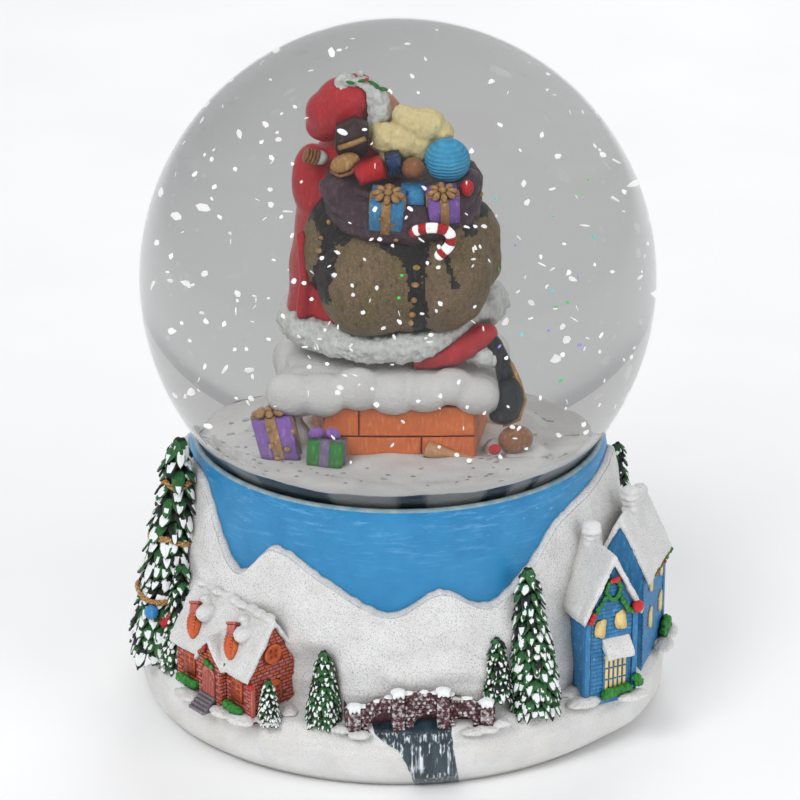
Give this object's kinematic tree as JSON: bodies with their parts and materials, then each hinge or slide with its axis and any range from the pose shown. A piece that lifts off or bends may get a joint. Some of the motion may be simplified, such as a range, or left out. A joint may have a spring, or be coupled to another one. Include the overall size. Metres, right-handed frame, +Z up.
{
  "type": "snow globe",
  "caption": "Musical snow globe: water-filled glass sphere with a figure on a chimney, set in a round resin base with a relief winter village and a wind-up key underneath.",
  "frame": {"origin": "centre of the resting plane, on the globe's vertical axis", "axes": "+Z up, -Y the front with the bridge, +X to the right seen from the front"},
  "size_m": [0.1062, 0.1056, 0.1335],
  "materials": {
    "snow_resin": "white painted resin with fine sparkle",
    "blue_paint": "brushed sky-blue paint",
    "slate_water": "slate paint with white streaks",
    "felt": "felt",
    "bridge_stone": "dark purple-brown paint, snow dabs",
    "brick_paint": "brick-red paint",
    "orange_paint": "orange paint",
    "grey_paint": "grey paint",
    "house_blue": "blue paint",
    "window_yellow": "pale yellow paint",
    "leaf_green": "green paint",
    "fir_green": "dark green paint, snow dabs",
    "gold_paint": "gold paint",
    "globe_glass": "clear polished glass",
    "clear_seal": "clear sealant",
    "black_rubber": "moulded rubber",
    "water": "clear water",
    "flake_white": "white plastic flakes",
    "chimney_orange": "orange brick paint",
    "santa_red": "red paint",
    "fur_white": "textured white paint",
    "boot_black": "black paint",
    "skin_paint": "skin-coloured paint",
    "sack_brown": "olive-brown paint with dark washes",
    "cuff_brown": "purple-brown paint",
    "present_blue": "blue paint",
    "ball_blue": "light blue paint",
    "cane_red": "red and white paint",
    "plush_yellow": "pale yellow paint",
    "present_purple": "purple paint",
    "plate_plastic": "moulded plastic",
    "steel": "zinc plated",
    "cast_zinc": "die-cast",
    "brass": "turned brass",
    "key_plate": "stamped brass"
  },
  "bodies": {
    "globe_base": {"back_trees": "fir_green", "beard": "fur_white", "blue_collar": "blue_paint", "blue_house": "house_blue", "blue_house_roof": "snow_resin", "boots": "boot_black", "bottom_plate": "plate_plastic", "bridge": "bridge_stone", "candy_cane": "cane_red", "chimney_bricks": "chimney_orange", "chimney_snow": "snow_resin", "coat_fur": "fur_white", "comb_screws": "steel", "cottage_dormers": "orange_paint", "cottage_roof": "snow_resin", "cottage_steps": "grey_paint", "cottage_walls": "brick_paint", "cottage_windows": "orange_paint", "door_canopy": "snow_resin", "felt_ring": "felt", "floor_presents": "present_purple", "glass_globe": "globe_glass", "globe_seal": "clear_seal", "hat": "santa_red", "hat_fur": "fur_white", "head": "skin_paint", "hedges": "leaf_green", "house_chimneys": "snow_resin", "house_door": "window_yellow", "house_windows": "window_yellow", "house_wreath": "leaf_green", "movement_frame": "cast_zinc", "movement_screws": "steel", "narrow_tree_left": "fir_green", "plate_screws": "steel", "plush_toy": "plush_yellow", "red_coat": "santa_red", "rubber_stopper": "black_rubber", "sack_cuff": "cuff_brown", "sack_presents": "present_blue", "small_trees": "fir_green", "snow_flakes": "flake_white", "snow_ground": "snow_resin", "snow_skirt": "snow_resin", "stream": "slate_water", "tall_tree_left": "fir_green", "tall_tree_right": "fir_green", "toy_balls": "ball_blue", "toy_sack": "sack_brown", "tree_garlands": "gold_paint", "trousers": "santa_red", "tune_comb": "steel", "water_fill": "water"},
    "winding_key": {"winding_key": "key_plate", "winding_arbor": "steel"},
    "spring_barrel": {"spring_barrel": "brass", "mainspring": "steel"},
    "tune_cylinder": {"pinned_cylinder": "brass"},
    "governor": {"governor_wheel": "brass"},
    "air_brake": {"air_brake": "steel"}
  },
  "joints": [
    {"name": "key_wind", "type": "hinge", "parent": "globe_base", "child": "winding_key", "pos_m": [0, 0, 0.006], "axis": [0, 0, 1], "continuous": true},
    {"name": "barrel_spin", "type": "hinge", "parent": "globe_base", "child": "spring_barrel", "pos_m": [0, 0, 0.022], "axis": [0, 0, 1], "continuous": true},
    {"name": "cylinder_spin", "type": "hinge", "parent": "globe_base", "child": "tune_cylinder", "pos_m": [0.0202, 0, 0.0302], "axis": [1, 0, 0], "continuous": true},
    {"name": "governor_spin", "type": "hinge", "parent": "globe_base", "child": "governor", "pos_m": [0.029, 0.0076, 0.0302], "axis": [1, 0, 0], "continuous": true},
    {"name": "brake_spin", "type": "hinge", "parent": "globe_base", "child": "air_brake", "pos_m": [0.0312, 0.0141, 0.0302], "axis": [0, 0, 1], "continuous": true}
  ],
  "couplings": [
    {"joint": "cylinder_spin", "follows": "barrel_spin", "ratio": 3},
    {"joint": "governor_spin", "follows": "barrel_spin", "ratio": -8.4},
    {"joint": "brake_spin", "follows": "barrel_spin", "ratio": 168}
  ]
}
